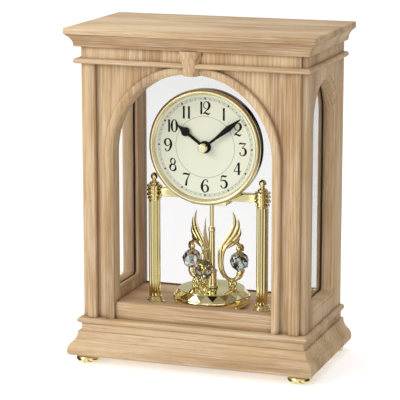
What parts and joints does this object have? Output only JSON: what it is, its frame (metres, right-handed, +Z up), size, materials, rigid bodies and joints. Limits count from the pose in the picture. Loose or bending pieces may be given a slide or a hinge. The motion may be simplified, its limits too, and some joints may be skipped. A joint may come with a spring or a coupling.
{
  "type": "mantel clock",
  "caption": "Arched wooden mantel clock with a drum-shaped clock head on brass columns, a revolving pendulum of swans and crystals, glazed sides and a clear back door.",
  "frame": {"origin": "middle of the overall box, on the plane that the feet stand on", "axes": "+Z up, the dial faces -Y, +X to the right as the dial is read"},
  "size_m": [0.2356, 0.1361, 0.312],
  "materials": {
    "pale_wood": "open-grained pale timber with a limed, matt clear finish",
    "pane_glass": "clear polished pane",
    "clear_acrylic": "clear polished sheet",
    "cut_crystal": "cut and polished facets",
    "polished_brass": "mirror-polished and lacquered",
    "grey_plastic": "moulded, fine texture",
    "dial_face": "printed cream, satin",
    "dark_bronze": "gloss dark bronze lacquer",
    "black_paint": "satin black paint",
    "black_plastic": "moulded, fine texture",
    "bright_steel": "turned",
    "white_plastic": "moulded",
    "cell_wrap": "printed wrap"
  },
  "bodies": {
    "case": {"back_top_rail": "pale_wood", "base_board": "pale_wood", "base_plinth": "pale_wood", "battery": "cell_wrap", "bezel": "polished_brass", "ceiling_board": "pale_wood", "centre_nut": "black_paint", "cornice_board": "pale_wood", "cross_bar": "polished_brass", "dial": "dial_face", "door_catch": "black_plastic", "drive_case": "polished_brass", "drum_back": "grey_plastic", "drum_case": "dark_bronze", "feet": "polished_brass", "floor_board": "pale_wood", "foot_studs": "bright_steel", "frieze_board": "pale_wood", "front_frame": "pale_wood", "front_rail": "pale_wood", "keystone": "pale_wood", "left_arch_band": "pale_wood", "left_column_base": "polished_brass", "left_column_capital": "polished_brass", "left_column_shaft": "polished_brass", "left_glass": "pane_glass", "left_glass_bead": "pale_wood", "left_pilaster": "pale_wood", "left_side_panel": "pale_wood", "motor_module": "black_plastic", "movement_case": "black_plastic", "movement_cover": "black_plastic", "right_arch_band": "pale_wood", "right_column_base": "polished_brass", "right_column_capital": "polished_brass", "right_column_shaft": "polished_brass", "right_glass": "pane_glass", "right_glass_bead": "pale_wood", "right_pilaster": "pale_wood", "right_side_panel": "pale_wood", "top_astragal": "pale_wood", "top_board": "pale_wood"},
    "minute": {"minute_hand": "black_paint", "minute_arbor": "bright_steel", "centre_cap": "polished_brass"},
    "hour": {"hour_wheel": "white_plastic", "hour_hand": "black_paint"},
    "motion": {"motion_wheel": "white_plastic", "set_knob": "black_plastic"},
    "pendulum": {"pendulum_spindle": "polished_brass", "pendulum_disc": "polished_brass", "right_swan": "polished_brass", "rear_swan": "polished_brass", "front_swan": "polished_brass", "crystals": "cut_crystal", "rotor_magnet": "bright_steel"},
    "door": {"back_door": "clear_acrylic", "door_pivots": "polished_brass", "door_knob": "polished_brass"}
  },
  "joints": [
    {"name": "minute_turn", "type": "hinge", "parent": "case", "child": "minute", "pos_m": [0, -0.0115, 0.202], "axis": [0, 1, 0], "continuous": true},
    {"name": "hour_turn", "type": "hinge", "parent": "case", "child": "hour", "pos_m": [0, -0.0135, 0.202], "axis": [0, 1, 0], "continuous": true},
    {"name": "motion_turn", "type": "hinge", "parent": "case", "child": "motion", "pos_m": [0, -0.0115, 0.2116], "axis": [0, 1, 0], "continuous": true},
    {"name": "pendulum_turn", "type": "hinge", "parent": "case", "child": "pendulum", "pos_m": [0, 0.002, 0.146], "axis": [0, 0, 1], "continuous": true},
    {"name": "door_swing", "type": "hinge", "parent": "case", "child": "door", "pos_m": [0.084, 0.0615, 0.165], "axis": [0, 0, -1], "range_deg": [0, 105]}
  ],
  "couplings": [
    {"joint": "hour_turn", "follows": "minute_turn", "ratio": 0.083333},
    {"joint": "motion_turn", "follows": "minute_turn", "ratio": -0.33333}
  ]
}
